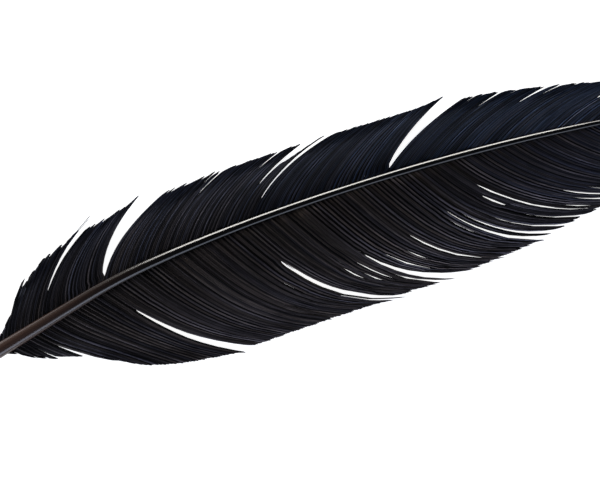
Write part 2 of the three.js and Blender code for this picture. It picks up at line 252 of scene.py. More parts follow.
def shaft_middle(s):
    k = min(len(SHAFT_LINE) - 2, max(0, int(s - LINE_START)))
    return SHAFT_LINE[k].lerp(SHAFT_LINE[k + 1], s - LINE_START - k)


def shaft_half_width(s):
    return ease(SHAFT_HALF_WIDTH, s)


def beside_shaft(s, t, lift):
    """The point t to the left (+) or right (-) of the shaft's middle and up by lift."""
    heading = math.radians(ramp(HEADING, s))
    return shaft_middle(s) + Vector((-math.sin(heading) * t, math.cos(heading) * t, lift))


# ------------------------------------------------------------------ settings


def colour_property(name, description, default):
    return bpy.props.FloatVectorProperty(
        name=name, description=description, default=default, subtype="COLOR", min=0, max=1)


class FeatherSettings(bpy.types.PropertyGroup):
    barb_spacing: bpy.props.FloatProperty(
        name="Barb Spacing", description="Distance from one barb's root to the next",
        default=0.68 * MM, unit="LENGTH", precision=5)
    barb_overlap: bpy.props.FloatProperty(
        name="Barb Overlap", description="How much wider a barb is than its share of the vane",
        default=0.16, subtype="FACTOR", min=0, max=0.5)
    barb_ridge: bpy.props.FloatProperty(
        name="Barb Ridge", description="Slope of the sides of a barb's ridge", default=0.55, min=0, max=2)
    cool_black: colour_property(
        "Cool Black", "Colour of the barbs where the gloss is blue", (0.020, 0.031, 0.064))
    warm_black: colour_property(
        "Warm Black", "Colour of the barbs where the pigment is brown", (0.074, 0.060, 0.055))
    horn_brown: colour_property(
        "Horn Brown", "Colour of the bare barrel", (0.062, 0.034, 0.026))
    horn_black: colour_property(
        "Horn Black", "Colour of the shaft along the vane", (0.0030, 0.0028, 0.0030))
    pith_white: colour_property(
        "Pith", "Colour of the pith inside the shaft", (0.62, 0.56, 0.46))
    seed: bpy.props.IntProperty(
        name="Seed", description="Start of the random differences between barbs", default=7, min=0)


class HolderSettings(bpy.types.PropertyGroup):
    wood_black: colour_property(
        "Ebonised Wood", "Colour of the black-stained wood", (0.012, 0.009, 0.008))
    wood_brown: colour_property(
        "Worn Wood", "Colour of the wood where the stain has worn", (0.055, 0.028, 0.015))
    brass: colour_property(
        "Brass", "Colour of the polished brass", (0.62, 0.40, 0.14))
    tarnish: colour_property(
        "Tarnish", "Colour of the brass in its grooves", (0.20, 0.11, 0.04))
    bronzed_steel: colour_property(
        "Bronzed Steel", "Colour of the nib", (0.30, 0.20, 0.12))
    bright_steel: colour_property(
        "Bright Steel", "Colour of the spring clip and of the nib's worn edges", (0.55, 0.54, 0.52))
    turning_steps: bpy.props.IntProperty(
        name="Turning Steps", description="Faces round a turned piece", default=96, min=12)


class StageSettings(bpy.types.PropertyGroup):
    floor_white: bpy.props.FloatProperty(
        name="Floor Brightness", description="How brightly the pale floor shines by itself",
        default=0.96, min=0, max=2)
    sky: bpy.props.FloatProperty(
        name="Surround", description="Brightness of the room around the pen", default=0.05, min=0)
    lens: bpy.props.FloatProperty(
        name="Lens", description="Focal length in millimetres", default=200, min=20)
    view_width: bpy.props.FloatProperty(
        name="View Width", description="Width of the view at the pen",
        default=180 * MM, unit="LENGTH")


# ------------------------------------------------------------------ mesh helpers


def mesh_of(bm, name):
    mesh = bpy.data.meshes.new(name)
    bm.to_mesh(mesh)
    bm.free()
    return mesh


def new_object(name, data):
    made = bpy.data.objects.new(name, data)
    bpy.context.scene.collection.objects.link(made)
    return made


def make_piece(bm, name, material, body="pen", replaces=None, sharp_angle=None):
    """Turns a bmesh into a named object that rides on a body."""
    mesh = mesh_of(bm, name)
    mesh.polygons.foreach_set("use_smooth", [True] * len(mesh.polygons))
    if sharp_angle:
        mesh.set_sharp_from_angle(angle=math.radians(sharp_angle))
    mesh.materials.append(material)
    piece = new_object(name, mesh)
    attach(piece, body)
    if replaces:
        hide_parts(replaces)
    return piece


def make_rod(sides, steps):
    """A closed rod along Z from -0.5 to 0.5, of radius 1, cut into equal steps."""
    bm = bmesh.new()
    bmesh.ops.create_cone(bm, segments=sides, radius1=1, radius2=1, depth=1, cap_ends=True)
    lengthwise = [e for e in bm.edges if abs(e.verts[0].co.z - e.verts[1].co.z) > 0.5]
    bmesh.ops.subdivide_edges(bm, edges=lengthwise, cuts=steps - 1)
    return bm


def turn(profile, steps):
    """A profile of (x, radius) points, in millimetres, spun round the barrel's axis."""
    bm = bmesh.new()
    centre = Vector((0, AXIS_Y, AXIS_Z)) * MM
    verts = [bm.verts.new(Vector((x, AXIS_Y, AXIS_Z + radius)) * MM) for x, radius in profile]
    edges = [bm.edges.new(pair) for pair in zip(verts, verts[1:])]
    bmesh.ops.spin(bm, geom=verts + edges, cent=centre, axis=(1, 0, 0), angle=math.tau,
                   steps=steps, use_merge=True)
    bmesh.ops.remove_doubles(bm, verts=bm.verts, dist=1e-7)
    bmesh.ops.recalc_face_normals(bm, faces=bm.faces)
    return bm


# ------------------------------------------------------------------ material helpers


def new_material(name, constants):
    """A material with a Principled shader whose plain sockets are set by name."""
    material = bpy.data.materials.new(name)
    material.use_nodes = True
    shader = material.node_tree.nodes["Principled BSDF"]
    for socket, value in constants.items():
        shader.inputs[socket].default_value = value
    return material, shader


def feed(shader, sockets):
    """Links what varies over the surface to the shader's sockets."""
    for socket, source in sockets.items():
        shader.id_data.links.new(source, shader.inputs[socket])


def add_node(tree, kind, settings=None, **inputs):
    """A node with its settings, and its inputs set to a value or linked to another socket."""
    node = tree.nodes.new(kind)
    for key, value in (settings or {}).items():
        setattr(node, key, value)
    for key, value in inputs.items():
        socket = node.inputs[int(key[2:]) if key.startswith("in") else key]
        if isinstance(value, bpy.types.NodeSocket):
            tree.links.new(value, socket)
        else:
            socket.default_value = value
    return node


def math_node(tree, operation, a, b=0.0):
    return add_node(tree, "ShaderNodeMath", {"operation": operation}, in0=a, in1=b).outputs[0]


def vector_node(tree, operation, vector, **inputs):
    node = add_node(tree, "ShaderNodeVectorMath", {"operation": operation}, in0=vector, **inputs)
    return node.outputs[0]


def mix_colour(tree, factor, a, b):
    node = add_node(tree, "ShaderNodeMix", {"data_type": "RGBA"})
    for socket, value in ((node.inputs[0], factor), (node.inputs[6], a), (node.inputs[7], b)):
        if isinstance(value, bpy.types.NodeSocket):
            tree.links.new(value, socket)
        else:
            socket.default_value = value if isinstance(value, float) else (*value, 1)
    return node.outputs[2]


def map_range(tree, value, low, high, to_low=0.0, to_high=1.0):
    node = add_node(tree, "ShaderNodeMapRange", {"clamp": True})
    tree.links.new(value, node.inputs["Value"])
    for socket, number in zip(("From Min", "From Max", "To Min", "To Max"), (low, high, to_low, to_high)):
        node.inputs[socket].default_value = number
    return node.outputs["Result"]


def add_bump(tree, height, distance, strength=1.0, normal=None):
    node = add_node(tree, "ShaderNodeBump", Strength=strength, Distance=distance, Height=height)
    if normal:
        tree.links.new(normal, node.inputs["Normal"])
    return node.outputs["Normal"]


def attribute(tree, name):
    return add_node(tree, "ShaderNodeAttribute", {"attribute_name": name}).outputs["Fac"]


def new_group(name, inputs, outputs):
    """A shader node group with float and vector sockets, and its input and output nodes."""
    group = bpy.data.node_groups.new(name, "ShaderNodeTree")
    for socket, kind, value in inputs:
        made = group.interface.new_socket(socket, in_out="INPUT", socket_type=kind)
        if value is not None:
            made.default_value = value
    for socket in outputs:
        group.interface.new_socket(socket, in_out="OUTPUT", socket_type="NodeSocketFloat")
    return group, group.nodes.new("NodeGroupInput"), group.nodes.new("NodeGroupOutput")


def streaks_group():
    """Long fibres along the first axis of the vector: a mask from 0 to 1, fine and coarse mixed."""
    name = "Fibre Streaks"
    if name in bpy.data.node_groups:
        return bpy.data.node_groups[name]
    group, given, result = new_group(name, [
        ("Vector", "NodeSocketVector", None), ("Stretch", "NodeSocketFloat", 0.05),
        ("Scale", "NodeSocketFloat", 1000.0)], ["Mask", "Coarse"])
    squeeze = add_node(group, "ShaderNodeCombineXYZ", X=given.outputs["Stretch"], Y=1.0, Z=1.0)
    place = vector_node(group, "MULTIPLY", given.outputs["Vector"], in1=squeeze.outputs[0])
    fine = add_node(group, "ShaderNodeTexNoise", Vector=place,
                    Scale=given.outputs["Scale"], Detail=3.0, Roughness=0.6)
    coarse_scale = math_node(group, "MULTIPLY", given.outputs["Scale"], 0.17)
    coarse = add_node(group, "ShaderNodeTexNoise", Vector=place, Scale=coarse_scale,
                      Detail=2.0, Roughness=0.5)
    group.links.new(map_range(group, fine.outputs["Fac"], 0.3, 0.7), result.inputs["Mask"])
    group.links.new(map_range(group, coarse.outputs["Fac"], 0.3, 0.7), result.inputs["Coarse"])
    return group


def handling_group():
    """Soft smudges and small scratches left by handling: two masks from 0 to 1."""
    name = "Handling Marks"
    if name in bpy.data.node_groups:
        return bpy.data.node_groups[name]
    group, given, result = new_group(name, [
        ("Vector", "NodeSocketVector", None), ("Scale", "NodeSocketFloat", 300.0)],
        ["Smudge", "Scratch"])
    smudge = add_node(group, "ShaderNodeTexNoise", Vector=given.outputs["Vector"],
                      Scale=given.outputs["Scale"], Detail=5.0, Roughness=0.65)
    stretched = vector_node(group, "MULTIPLY", given.outputs["Vector"], in1=(0.12, 1.0, 1.3))
    scratch_scale = math_node(group, "MULTIPLY", given.outputs["Scale"], 14.0)
    scratch = add_node(group, "ShaderNodeTexNoise", Vector=stretched, Scale=scratch_scale, Detail=1.0)
    group.links.new(map_range(group, smudge.outputs["Fac"], 0.35, 0.65), result.inputs["Smudge"])
    group.links.new(map_range(group, scratch.outputs["Fac"], 0.62, 0.70), result.inputs["Scratch"])
    return group


def place_group(tree, group, **inputs):
    node = add_node(tree, "ShaderNodeGroup", {"node_tree": group}, **inputs)
    return node.outputs


def object_place(tree):
    return tree.nodes.new("ShaderNodeTexCoord").outputs["Object"]


# ------------------------------------------------------------------ materials


def barb_material():
    """Black barbs whose pigment glosses like dark metal, in long strands, with fine barbules across."""
    settings = bpy.context.scene.quill_feather
    material, shader = new_material("Barbs", {"Metallic": 0.6, "Specular IOR Level": 0.1})
    tree = material.node_tree
    uv = add_node(tree, "ShaderNodeUVMap", {"uv_map": "barb"})
    across, along, _ = add_node(tree, "ShaderNodeSeparateXYZ", Vector=uv.outputs[0]).outputs
    lengthwise = add_node(tree, "ShaderNodeCombineXYZ", X=along, Y=across)
    strands = place_group(tree, streaks_group(), Vector=lengthwise.outputs[0], Stretch=0.03, Scale=4.0)
    crisp = map_range(tree, strands["Mask"], 0.0, 1.0, 0.3, 1.2)
    # The tone attribute carries painted light and shade along s besides the barbs' random tone, so gloss
    # and the base colour carry painted light too.
    gloss = math_node(tree, "MULTIPLY", crisp, attribute(tree, "tone"))
    soft = map_range(tree, strands["Coarse"], 0.0, 1.0, 0.8, 1.1)
    gloss = math_node(tree, "MULTIPLY", gloss, soft)
    pigment = mix_colour(tree, attribute(tree, "warmth"), settings.cool_black, settings.warm_black)
    barbules = math_node(tree, "SINE", math_node(tree, "MULTIPLY", along, math.tau / 0.11))
    fine = add_bump(tree, barbules, 0.004 * MM, 0.5)
    feed(shader, {
        "Base Color": vector_node(tree, "SCALE", pigment, Scale=gloss),
        "Roughness": map_range(tree, gloss, 0.0, 1.2, 0.50, 0.32),
        "Normal": add_bump(tree, strands["Mask"], 0.03 * MM, 1.0, fine)})
    return material


def horn_material():
    """Keratin of the shaft: brown horn at the barrel, glossy black along the vane."""
    settings = bpy.context.scene.quill_feather
    material, shader = new_material("Horn", {"Specular IOR Level": 0.32, "Coat Roughness": 0.22})
    tree = material.node_tree
    uv = add_node(tree, "ShaderNodeUVMap", {"uv_map": "shaft"})
    s = attribute(tree, "s")
    blackness = map_range(tree, s, -12.0, 70.0)
    blackness.node.interpolation_type = "SMOOTHSTEP"
    fibres = place_group(tree, streaks_group(), Vector=uv.outputs[0], Stretch=0.012, Scale=9.0)
    pigment = mix_colour(tree, blackness, settings.horn_brown, settings.horn_black)
    shade = map_range(tree, fibres["Coarse"], 0.0, 1.0, 0.75, 1.2)
    smooth = map_range(tree, s, 20.0, 75.0, 0.26, 0.16)
    uneven = map_range(tree, fibres["Mask"], 0.0, 1.0, -0.01, 0.02)
    feed(shader, {
        "Base Color": vector_node(tree, "SCALE", pigment, Scale=shade),
        "Coat Weight": map_range(tree, s, -20.0, 80.0, 0.4, 0.0),
        "Roughness": math_node(tree, "ADD", smooth, uneven),
        "Normal": add_bump(tree, fibres["Mask"], 0.0012 * MM)})
    return material


def pith_material():
    settings = bpy.context.scene.quill_feather
    material, shader = new_material("Pith", {"Roughness": 0.85})
    tree = material.node_tree
    cells = add_node(tree, "ShaderNodeTexVoronoi", Vector=object_place(tree), Scale=4000.0)
    grey = tuple(0.7 * channel for channel in settings.pith_white)
    depth = map_range(tree, cells.outputs["Distance"], 0.0, 0.6)
    feed(shader, {"Base Color": mix_colour(tree, depth, settings.pith_white, grey),
                  "Normal": add_bump(tree, cells.outputs["Distance"], 0.05 * MM)})
    return material


def wood_material():
    """Black-stained hardwood under satin lacquer, browner where fingers have worn it."""
    settings = bpy.context.scene.quill_holder
    material, shader = new_material("Ebonised Wood", {"Coat Weight": 0.35, "Coat Roughness": 0.22})
    tree = material.node_tree
    place = object_place(tree)
    grain = place_group(tree, streaks_group(), Vector=place, Stretch=0.04, Scale=2600.0)
    marks = place_group(tree, handling_group(), Vector=place, Scale=170.0)
    worn = math_node(tree, "MULTIPLY", marks["Smudge"], grain["Mask"])
    worn = math_node(tree, "MULTIPLY", worn, 0.8)
    feed(shader, {
        "Base Color": mix_colour(tree, worn, settings.wood_black, settings.wood_brown),
        "Roughness": map_range(tree, marks["Smudge"], 0.0, 1.0, 0.30, 0.48),
        "Normal": add_bump(tree, grain["Mask"], 0.02 * MM, 0.8)})
    return material


def metal_material(name, bright, dull, rough_low, rough_high, scale, turned):
    """A worn metal: dull in its smudges, with fine turning or rolling lines and scratches."""
    material, shader = new_material(name, {"Metallic": 1.0})
    tree = material.node_tree
    place = object_place(tree)
    marks = place_group(tree, handling_group(), Vector=place, Scale=scale)
    line_place = place
    if turned:
        line_place = vector_node(tree, "MULTIPLY", place, in1=(1.0, 0.02, 0.02))
    lines = place_group(tree, streaks_group(), Vector=line_place,
                        Stretch=1.0 if turned else 0.05, Scale=9000.0)
    dulled = mix_colour(tree, marks["Smudge"], bright, dull)
    scratched = math_node(tree, "MULTIPLY", marks["Scratch"], 0.5)
    rough = map_range(tree, marks["Smudge"], 0.0, 1.0, rough_low, rough_high)
    feed(shader, {
        "Base Color": mix_colour(tree, scratched, dulled, bright),
        "Roughness": math_node(tree, "ADD", rough, math_node(tree, "MULTIPLY", lines["Mask"], 0.08)),
        "Normal": add_bump(tree, lines["Mask"], 0.004 * MM)})
    return material


# ------------------------------------------------------------------ vanes


def barb_path(vane, root):
    """[(s, t)] of the barb with this root, at equal steps of v, before any split moves it."""
    at_root = math.radians(ease(vane["root_angle"], root))
    at_margin = math.radians(ease(vane["margin_angle"], root))
    bend = ease(vane["bend"], root)
    path = []
    s = root
    for i in range(PATH_STEPS + STEPS_PAST_MARGIN):
        v = i / PATH_STEPS
        angle = at_root + (at_margin - at_root) * min(1, v) ** bend
        width = ease(vane["half_width"], s)
        path.append((s, v * width, angle))
        slope = ease(vane["half_width"], s + 0.5) - ease(vane["half_width"], s - 0.5)
        run = math.cos(angle) / math.sin(angle)
        s += run * width / PATH_STEPS / max(0.25, 1 - v * slope * run)
    return path


def gap_at(start, end, gap, v):
    """Width of a split at v: blunt at its ends, and wider towards an open end."""
    if v <= start or (end < 1 and v >= end):
        return 0.0
    x = (v - start) / (end - start)
    if end < 1:
        return gap * math.sqrt(1 - abs(2 * x - 1) ** 3)
    blunt = min(gap, BLUNT_GAP + BLUNT_PER_GAP * gap)
    fan = 1.25 if gap < 2 else 0.95
    return blunt * math.sqrt(min(1, x / BLUNT_END)) + (gap - blunt) * x ** fan


def snapped_splits(vane, spacing):
    """The vane's splits, each moved to the nearest line between two barbs."""
    first = vane["first_root"]
    return [(first + (round((root - first) / spacing - 0.5) + 0.5) * spacing, start, end, gap)
            for root, start, end, gap in vane["splits"]]


def pushed_by(splits, barb_root, root, v):
    """How far the splits push this place of a barb aside at v. Plus is tipwards."""
    total = 0.0
    for split_root, start, end, gap in splits:
        share = 0.5 if gap < WIDE_GAP else NIBWARD_SHARE
        if barb_root >= split_root:
            share -= 1
        reach = PUSH_NEAR + PUSH_PER_GAP * abs(share) * gap
        away = abs(root - split_root)
        if away < 5 * reach:
            total -= share * gap_at(start, end, gap, v) * math.exp(-away / reach)
    return total


def vane_height(vane, s, v):
    """Height of the vane's surface over the surface that it lies on."""
    start = shaft_middle(s).z + RISE_ON_RACHIS * shaft_half_width(s)
    narrow = min(1, ease(vane["half_width"], s) / vane["full_width"])
    free = start - (start + MARGIN_SINK) * narrow * v ** vane["droop"]
    ripple = RIPPLE * math.sin(s / 5.3 + 4 * v) * math.sin(s / 13 + 1) * v * (1.3 - v)
    free += ripple
    return (free + MARGIN_REST + math.sqrt((free - MARGIN_REST) ** 2 + LANDING)) / 2


def vane_point(vane, splits, path, barb_root, root, v):
    """The place at v on the path rooted at root, with the splits open, in millimetres."""
    k = min(len(path) - 2, int(v * PATH_STEPS))
    f = v * PATH_STEPS - k
    s, t, angle = (a + (b - a) * f for a, b in zip(path[k], path[k + 1]))
    push = pushed_by(splits, barb_root, root, v)
    s += push * math.sin(angle)
    t -= push * math.cos(angle)
    place = beside_shaft(s, t * vane["side"], 0)
    place.z = vane_height(vane, s, min(v, 1))
    return place


def stations(splits, root, start, end):
    """Values of v for a barb's sections, closer together where a nearby split begins or ends."""
    wanted = {start, end, end - TIP_TAPER}
    for split_root, split_start, split_end, gap in splits:
        if abs(root - split_root) < 1.0 + 1.5 * gap:
            stop = min(split_end, end)
            for share in (0.0, 0.06, 0.94, 1.0):
                wanted.add(split_start + (stop - split_start) * share)
    kept = [start]
    for v in sorted(w for w in wanted if start < w < end):
        if v - kept[-1] > 0.008 and len(kept) < BARB_STATIONS:
            kept.append(v)
    kept.append(end)
    while len(kept) < BARB_STATIONS + 1:
        widest = max(range(len(kept) - 1), key=lambda i: kept[i + 1] - kept[i])
        kept.insert(widest + 1, (kept[widest] + kept[widest + 1]) / 2)
    return kept


def tooth_steps(vane, draw):
    """[(s where it ends, its length, its depth)] of the small steps along the margin."""
    steps = []
    for begin, stop, length, depth in vane["teeth"]:
        s = begin
        while s < stop:
            size = length * draw.uniform(0.5, 1.6)
            s += size
            steps.append((s, size, depth * draw.uniform(0.3, 1.5)))
    return steps


def barb_end(vane, steps, root, draw):
    """v at which the barb with this root ends."""
    for low, high, short, long in vane["slivers"]:
        if low <= root < high:
            return short + (long - short) * ((root - low) / (high - low)) ** 2
    end = 1 + draw.uniform(-0.004, 0.004)
    for stop, size, depth in steps:
        if root < stop:
            end += depth * (0.5 - (stop - root) / size)
            break
    for tuft_root, roots, extra in vane["tufts"]:
        if 0 < tuft_root - root < 4 * roots:
            end += extra * math.exp(-(tuft_root - root) / roots)
    return end


def trimmed(vane, splits, root, end):
    """v at which a barb is cut so that, pushed aside, it still ends at this share of the width."""
    path = barb_path(vane, root)
    v = end
    for _ in range(6):
        k = min(len(path) - 2, int(v * PATH_STEPS))
        s, t, angle = (a + (b - a) * (v * PATH_STEPS - k) for a, b in zip(path[k], path[k + 1]))
        push = pushed_by(splits, root, root, v)
        shown = (t - push * math.cos(angle)) / ease(vane["half_width"], s + push * math.sin(angle))
        v = min(LONGEST_V, max(SHORTEST_V, v + 0.8 * (end - shown)))
    return v


def lay_barb(bm, rod, vane, splits, root, half, end, looks):
    """Adds a copy of the rod to the bmesh, bent into the barb with this root."""
    ridge, overlap, tone, warmth, lift, tilt = looks
    end = trimmed(vane, splits, root, end)
    inner = ROOT_SHARE * shaft_half_width(root) / ease(vane["half_width"], root)
    values = stations(splits, root, min(inner, 0.8 * end), end)
    lines = {}
    for side in (-1, 0, 1):
        near = barb_path(vane, root + side * half * (1 + overlap))
        far = barb_path(vane, root + side * half * (1 + TIP_OVERLAPS * overlap))
        lines[side] = [vane_point(vane, splits, near, root, root, v).lerp(
            vane_point(vane, splits, far, root, root, v), min(1, v)) for v in values]
    along = [0.0]
    for a, b in zip(lines[0], lines[0][1:]):
        along.append(along[-1] + (b - a).length)
    ridges = []
    for k, (low, high) in enumerate(zip(lines[-1], lines[1])):
        way = (lines[0][min(k + 1, BARB_STATIONS)] - lines[0][max(k - 1, 0)]).normalized()
        ridges.append(ridge * (high - low).cross(way).length / 2)
    first = len(bm.verts)
    bm.from_mesh(rod)
    bm.verts.ensure_lookup_table()
    tone_layer = bm.verts.layers.float["tone"]
    warmth_layer = bm.verts.layers.float["warmth"]
    distance = {}
    for vert in bm.verts[first:]:
        x, y, z = round(vert.co.x), round(vert.co.y), vert.co.z
        k = round((z + 0.5) * BARB_STATIONS)
        taper = min(1, (end - values[k]) / TIP_TAPER + 0.2)
        place = lines[0][k].lerp(lines[x][k], taper)
        place.z += (y + tilt * x) * ridges[k] * taper + lift
        vert.co = place * MM
        vert[tone_layer] = tone
        vert[warmth_layer] = warmth * (1 - vane["cooler_outward"] * min(1, values[k]))
        distance[vert] = along[k]
    uv = bm.loops.layers.uv["barb"]
    bm.faces.ensure_lookup_table()
    for face in bm.faces[-len(rod.polygons):]:
        for loop in face.loops:
            loop[uv].uv = (root + half * loop[uv].uv.x, distance[loop.vert])


def barb_layers(bm):
    """Gives a bmesh the UV map and the attributes of barbs, and returns the UV map."""
    uv = bm.loops.layers.uv.new("barb")
    bm.verts.layers.float.new("tone")
    bm.verts.layers.float.new("warmth")
    return uv


def barb_rod():
    """The four-sided rod that every barb is bent from, with its UV map and attributes."""
    bm = make_rod(4, BARB_STATIONS)
    uv = barb_layers(bm)
    for face in bm.faces:
        for loop in face.loops:
            loop[uv].uv = (round(loop.vert.co.x), 0)
    return mesh_of(bm, "barb_rod")


def wandering(draw, step, reach):
    """A value that wanders from barb to barb between 0 and 1."""
    value = draw.random()
    while True:
        value += draw.uniform(-step, step) + (0.5 - value) * reach
        yield min(1, max(0, value))


class QUILL_OT_vanes(bpy.types.Operator):
    """Add both vanes, barb by barb, in the groups that the splits part"""

    bl_idname = "quill.add_vanes"
    bl_label = "Vanes"

    def execute(self, context):
        settings = context.scene.quill_feather
        spacing = settings.barb_spacing / MM
        material = barb_material()
        rod = barb_rod()
        for vane in (LEADING, TRAILING):
            draw = random.Random(settings.seed + vane["side"])
            splits = snapped_splits(vane, spacing)
            steps = tooth_steps(vane, draw)
            tones = wandering(draw, 0.3, 1.8)
            warmths = wandering(draw, 0.5, 0.8)
            tilts = wandering(draw, 0.5, 1.6)
            lifts = wandering(draw, 0.35, 0.3)
            count = int((vane["last_root"] - vane["first_root"]) / spacing)
            roots = [vane["first_root"] + i * spacing for i in range(count)]
            parts = [-1e3, *vane["parts"], 1e3]
            for number, (low, high) in enumerate(zip(parts, parts[1:]), 1):
                bm = bmesh.new()
                barb_layers(bm)
                for root in (r for r in roots if low <= r < high):
                    # The vane's tone table paints light and shade along s; the wandering part is the
                    # barbs' own random tone.
                    tone = ramp(vane["tone"], root) * (0.04 + 2.0 * next(tones) ** 2)
                    warmth = ramp(vane["warmth"], root) + 0.5 * (next(warmths) - 0.5)
                    looks = (settings.barb_ridge, settings.barb_overlap, tone, warmth,
                             0.12 * (next(lifts) - 0.5), 0.9 * (next(tilts) - 0.5))
                    lay_barb(bm, rod, vane, splits, root, spacing / 2,
                             barb_end(vane, steps, root, draw), looks)
                for split_root, share, end, half in vane["strays"]:
                    if low < split_root <= high:
                        self.lay_stray(bm, rod, vane, splits, split_root, share, end, half)
                bmesh.ops.recalc_face_normals(bm, faces=bm.faces)
                node = f"{vane['name']}_{number}"
                make_piece(bm, f"{node}_barbs", material, replaces=node)
        bpy.data.meshes.remove(rod)
        return {"FINISHED"}

    def lay_stray(self, bm, rod, vane, splits, split_root, share, end, half):
        """A thin barb on its own inside a split: share is -1 at its nibward side, 1 at the other."""
        moved = [(at, start, stop, gap * abs(share) if abs(at - split_root) < 0.4 else gap)
                 for at, start, stop, gap in splits]
        root = split_root + math.copysign(0.33, share)
        lay_barb(bm, rod, vane, moved, root, half, end, STRAY_LOOKS)


# ------------------------------------------------------------------ shaft


class QUILL_OT_shaft(bpy.types.Operator):
    """Add the horn shaft, round in the barrel and flatter on top along the vane"""

    bl_idname = "quill.add_shaft"
    bl_label = "Shaft"

    sides = 48
    steps = 260
    bevel_from, bevel_over = 15, 60  # from which s, and over how far, it turns into the outline
    # Along the vane: (share of the way round from the trailing side, u, w), top then grooved back.
    outline = [(0.0, 1.0, 0.0), (0.10, 0.93, 0.36), (0.16, 0.70, 0.57), (0.25, 0.36, 0.72),
               (0.30, 0.24, 0.745), (0.56, -0.36, 0.765), (0.60, -0.44, 0.745), (0.80, -0.90, 0.40),
               (0.86, -0.97, 0.30), (1.0, -1.0, 0.0), (1.12, -0.90, -0.45), (1.25, -0.60, -0.70),
               (1.40, -0.22, -0.66), (1.5, 0.0, -0.50), (1.60, 0.22, -0.66), (1.75, 0.60, -0.70),
               (1.88, 0.90, -0.45), (2.0, 1.0, 0.0)]

    def section(self, share):
        """A place on the shaft's outline, in half widths across and up."""
        return [ramp([(row[0], row[i]) for row in self.outline], share) for i in (1, 2)]

    def execute(self, context):
        bm = make_rod(self.sides, self.steps)
        uv = bm.loops.layers.uv.new("shaft")
        s_layer = bm.verts.layers.float.new("s")
        length = BARREL_LENGTH + RACHIS_END
        around = {}
        for vert in bm.verts:
            x, y, z = vert.co
            s = (z + 0.5) * length - BARREL_LENGTH
            angle = math.atan2(y, x)
            half = shaft_half_width(s)
            edged = min(1, max(0, (s - self.bevel_from) / self.bevel_over))
            share = angle / math.pi % 2
            u, w = self.section(share)
            u, w = x + (u - x) * edged, y + (w - y) * edged
            around[vert] = (s, angle * half)
            vert[s_layer] = s
            vert.co = beside_shaft(s, -u * half, w * half) * MM
        for face in bm.faces:
            turns = [around[loop.vert][1] for loop in face.loops]
            for loop, turn_mm in zip(face.loops, turns):
                s, _ = around[loop.vert]
                if max(turns) - min(turns) > 2 and turn_mm < 0:
                    turn_mm += math.tau * shaft_half_width(s)
                loop[uv].uv = (s, turn_mm)
        bmesh.ops.recalc_face_normals(bm, faces=bm.faces)
        make_piece(bm, "quill_shaft_horn", horn_material(), replaces="quill_shaft",
                   sharp_angle=60)
        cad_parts["pith_core"].data.materials.clear()
        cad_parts["pith_core"].data.materials.append(pith_material())
        return {"FINISHED"}


# ------------------------------------------------------------------ holder


class QUILL_OT_grip(bpy.types.Operator):
    """Add the turned wooden grip, with its tenon, beads and the socket for the quill"""

    bl_idname = "quill.add_grip"
    bl_label = "Grip"

    def execute(self, context):
        settings = context.scene.quill_holder
        shoulder = ferrule_high.x / MM + 0.3
        tenon = grip_low.x / MM
        mouth = grip_high.x / MM
        ring = ring_low.x / MM - 0.3
        body = [(0, 3.9), (3, 4.05), (8, 4.17), (13, 3.95), (18, 3.55), (23, 3.6), (26.5, 3.98),
                (28, 3.74), (29.4, 4.12), (30.8, 3.74), (31.6, 3.8)]
        waist = [(shoulder + x * 0.25, ease(body, x * 0.25)) for x in range(2, 127)]
        groove_at = (3.2, 4.4, 24.6)
        carved = [(x, r - 0.16 * max(math.exp(-((x - shoulder - g) / 0.22) ** 2) for g in groove_at))
                  for x, r in waist]
        profile = [(tenon, 0), (tenon, 2.9), (tenon + 0.3, 3.1), (shoulder, 3.1), (shoulder, 3.75),
                   (shoulder + 0.18, 3.88), *carved, (ring - 0.3, 3.78), (ring, 3.6), (ring, 3.35),
                   (mouth - 0.2, 3.35), (mouth, 3.15), (mouth, 2.8), (mouth - 0.2, 2.65),
                   (mouth - 13, 2.65), (mouth - 13, 0)]
        bm = turn(profile, settings.turning_steps)
        make_piece(bm, "grip_wood", wood_material(), replaces="grip", sharp_angle=38)
        return {"FINISHED"}


def rounded(x_from, x_to, radius, depth, steps=5):
    """Profile points of a half-round bead that stands depth above radius, from x_from to x_to."""
    middle, half = (x_from + x_to) / 2, (x_to - x_from) / 2
    angles = [math.pi * i / steps for i in range(steps + 1)]
    return [(middle - half * math.cos(a), radius + depth * math.sin(a)) for a in angles]


